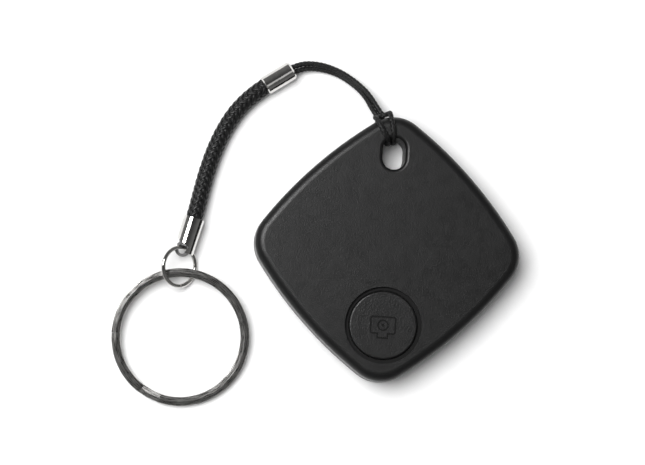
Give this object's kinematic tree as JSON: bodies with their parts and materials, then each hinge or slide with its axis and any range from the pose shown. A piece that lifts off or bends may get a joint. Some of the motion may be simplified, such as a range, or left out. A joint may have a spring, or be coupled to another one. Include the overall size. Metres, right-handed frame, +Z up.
{
  "type": "bluetooth tracker tag",
  "caption": "Flat rounded-diamond tracker tag with a press button and corner slot, a loop and braided wrist strap, metal fittings and a split key ring.",
  "frame": {"origin": "middle of the tag's back face, which lies on the surface; the strap and rings are left out", "axes": "+Z up out of the front face, +Y along the tag's diagonal to the corner with the strap slot, +X to the right"},
  "size_m": [0.0728, 0.0645, 0.009],
  "materials": {
    "case_black": "fine matt moulded grain",
    "button_black": "fine matt grain",
    "switch_plastic": "matt",
    "spring_steel": "bright rolled",
    "plunger_white": "matt",
    "board_green": "solder mask",
    "cell_steel": "satin",
    "gasket_white": "matt",
    "cathode_grey": "pressed powder",
    "sounder_brass": "rolled",
    "sounder_ceramic": "silvered",
    "chip_black": "moulded epoxy",
    "antenna_white": "fired",
    "capacitor_tan": "fired",
    "cord_black": "fine braided nylon",
    "braid_black": "glossy round braid",
    "polished_nickel": "polished nickel plate",
    "satin_nickel": "satin nickel with fine scratches"
  },
  "bodies": {
    "tag": {"front_cover": "case_black", "back_cover": "case_black", "switch_base": "switch_plastic", "switch_lid": "spring_steel", "circuit_board": "board_green", "battery_can": "cell_steel", "battery_gasket": "gasket_white", "battery_cathode": "cathode_grey", "battery_cap": "cell_steel", "negative_contact": "spring_steel", "positive_clip": "spring_steel", "sounder_plate": "sounder_brass", "sounder_disc": "sounder_ceramic", "sounder_contacts": "spring_steel", "bluetooth_chip": "chip_black", "crystal": "cell_steel", "chip_antenna": "antenna_white", "capacitors": "capacitor_tan", "resistors": "chip_black"},
    "button": {"button_cap": "button_black", "switch_plunger": "plunger_white"},
    "strap": {"loop_cord": "cord_black", "ferrule": "polished_nickel", "braided_strap": "braid_black", "strap_end_cap": "polished_nickel"},
    "jump_ring": {"jump_ring": "polished_nickel"},
    "key_ring": {"key_ring": "satin_nickel"}
  },
  "joints": [
    {"name": "button_press", "type": "slide", "parent": "tag", "child": "button", "axis": [0, 0, -1], "range_m": [0, 0.00025], "stiffness_N_per_m": 1000, "springref_m": -0.0005},
    {"name": "strap_swing", "type": "hinge", "parent": "tag", "child": "strap", "pos_m": [-0.00263, 0.02416, 0.0042], "axis": [0, 0, 1], "range_deg": [-90, 4], "deforming": ["loop_cord"]},
    {"name": "jump_ring_swing", "type": "hinge", "parent": "strap", "child": "jump_ring", "pos_m": [-0.03683, -0.00207, 0.00246], "axis": [-0.8121, 0.1069, 0.5736], "range_deg": [0, 30]},
    {"name": "key_ring_swing", "type": "hinge", "parent": "jump_ring", "child": "key_ring", "pos_m": [-0.0372, -0.00668, 0.00246], "axis": [-0.9963, -0.0859, 0], "range_deg": [0, 90]}
  ]
}
